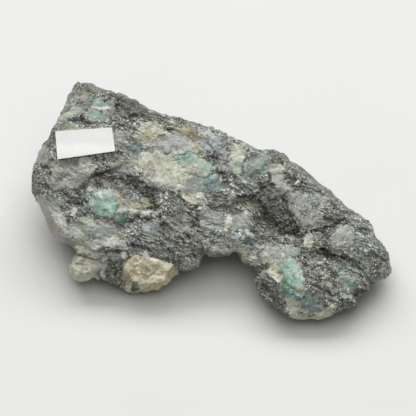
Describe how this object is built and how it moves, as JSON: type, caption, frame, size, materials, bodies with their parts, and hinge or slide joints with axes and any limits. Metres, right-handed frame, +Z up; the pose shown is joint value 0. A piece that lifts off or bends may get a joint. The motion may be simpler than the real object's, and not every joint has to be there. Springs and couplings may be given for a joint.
{
  "type": "emerald in matrix",
  "caption": "Hand specimen of silvery mica schist with green emerald and beryl crystals, quartz and feldspar, lying on a flat foot, with a small blank paper label.",
  "frame": {"origin": "on the resting plane, under the middle of the specimen's box", "axes": "+X along the length, from the labelled end to the lobed end; +Y from the low front edge to the high back edge; +Z up"},
  "size_m": [0.1012, 0.0676, 0.028],
  "materials": {
    "matrix": "silvery mica schist, glittering, broken",
    "emerald_left": "translucent emerald, vitreous",
    "emerald_left_small": "translucent emerald, vitreous",
    "emerald_centre": "translucent emerald, vitreous, milky",
    "beryl_centre": "blue-green beryl, translucent",
    "beryl_pale": "pale beryl, greasy lustre",
    "emerald_top": "translucent emerald with a healed crack",
    "emerald_lobe": "translucent emerald, vitreous",
    "beryl_bluish": "bluish beryl, translucent",
    "emerald_small": "dark emerald, vitreous",
    "beryl_lens": "grey-green beryl, satin",
    "beryl_grain": "pale green-grey beryl, satin",
    "quartz_block": "grey quartz, greasy lustre",
    "feldspar_patch": "cream feldspar, satin cleavage",
    "quartz_knob": "cloudy yellowish quartz, translucent",
    "feldspar_lump": "cream feldspar with rusty stains",
    "paper_label": "white matt paper, blank"
  },
  "bodies": {
    "root": {"matrix": "matrix", "emerald_left": "emerald_left", "emerald_left_small": "emerald_left_small", "emerald_centre": "emerald_centre", "beryl_centre": "beryl_centre", "beryl_pale": "beryl_pale", "emerald_top": "emerald_top", "emerald_lobe": "emerald_lobe", "beryl_bluish": "beryl_bluish", "emerald_small": "emerald_small", "beryl_lens": "beryl_lens", "beryl_grain": "beryl_grain", "quartz_block": "quartz_block", "feldspar_patch": "feldspar_patch", "quartz_knob": "quartz_knob", "feldspar_lump": "feldspar_lump", "paper_label": "paper_label"}
  },
  "joints": []
}
